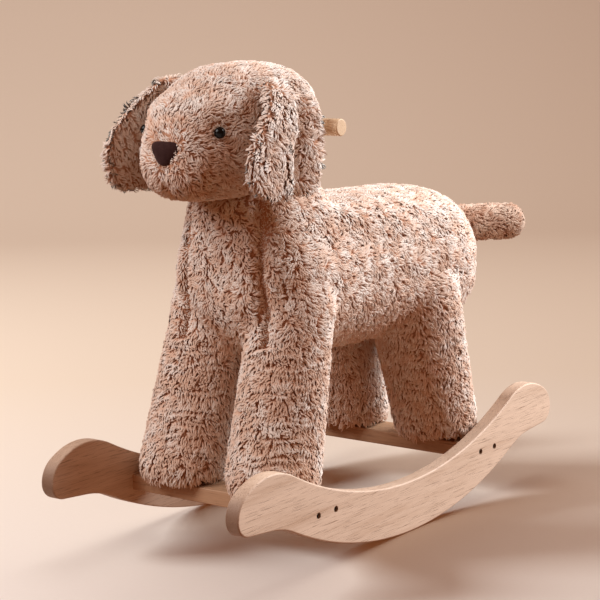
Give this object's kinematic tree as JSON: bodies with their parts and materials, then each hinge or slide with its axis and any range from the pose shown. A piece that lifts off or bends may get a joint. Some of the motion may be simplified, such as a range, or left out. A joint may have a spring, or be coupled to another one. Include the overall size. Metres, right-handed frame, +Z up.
{
  "type": "plush puppy rocker",
  "caption": "Curly plush puppy on a timber frame with a through-the-head hand grip, standing on two curved wooden rockers.",
  "frame": {"origin": "on the floor, under the middle of the whole model's box", "axes": "+Z up, -Y the way the puppy faces, +X its left side; the rockers run along Y"},
  "size_m": [0.284, 0.703, 0.5499],
  "materials": {
    "rocker_wood": "clear oiled, fine straight grain",
    "board_wood": "clear oiled, sawn edges eased",
    "frame_timber": "planed, unfinished",
    "handle_wood": "turned and sanded smooth",
    "plush": "short curly faux fur, cream tips over brown roots",
    "stuffing": "loose polyester fibre",
    "nose_cloth": "brushed dark brown cloth",
    "eye_bead": "polished black",
    "washer_plastic": "moulded",
    "screw_steel": "dark zinc plated",
    "insert_brass": "turned"
  },
  "bodies": {
    "rocker_and_puppy": {"body_cover": "plush", "body_stuffing": "stuffing", "chest_cover": "plush", "eye_washers": "washer_plastic", "front_cross_board": "board_wood", "front_left_leg_cover": "plush", "front_left_leg_post": "frame_timber", "front_left_leg_stuffing": "stuffing", "front_right_leg_cover": "plush", "front_right_leg_post": "frame_timber", "front_right_leg_stuffing": "stuffing", "handle": "handle_wood", "handle_lock_screw": "screw_steel", "head_cover": "plush", "head_stuffing": "stuffing", "left_eye": "eye_bead", "left_rocker": "rocker_wood", "left_rocker_screws": "screw_steel", "leg_bolt_inserts": "insert_brass", "leg_bolts": "screw_steel", "neck_post": "frame_timber", "neck_post_screws": "screw_steel", "nose": "nose_cloth", "rear_cross_board": "board_wood", "rear_left_leg_cover": "plush", "rear_left_leg_post": "frame_timber", "rear_left_leg_stuffing": "stuffing", "rear_right_leg_cover": "plush", "rear_right_leg_post": "frame_timber", "rear_right_leg_stuffing": "stuffing", "right_eye": "eye_bead", "right_rocker": "rocker_wood", "right_rocker_screws": "screw_steel", "seat_board": "frame_timber", "seat_board_screws": "screw_steel"},
    "left_ear_flap": {"left_ear": "plush"},
    "right_ear_flap": {"right_ear": "plush"},
    "tail_roll": {"tail": "plush"}
  },
  "joints": [
    {"name": "left_ear_swing", "type": "hinge", "parent": "rocker_and_puppy", "child": "left_ear_flap", "pos_m": [0.07574, -0.17397, 0.528], "axis": [0, -1, 0], "range_deg": [0, 75]},
    {"name": "right_ear_swing", "type": "hinge", "parent": "rocker_and_puppy", "child": "right_ear_flap", "pos_m": [-0.07574, -0.17397, 0.528], "axis": [0, 1, 0], "range_deg": [0, 75]},
    {"name": "tail_wag", "type": "hinge", "parent": "rocker_and_puppy", "child": "tail_roll", "pos_m": [0, 0.25713, 0.319], "axis": [0, 0, 1], "range_deg": [-7, 83], "stiffness_Nm_per_rad": 0.05}
  ]
}
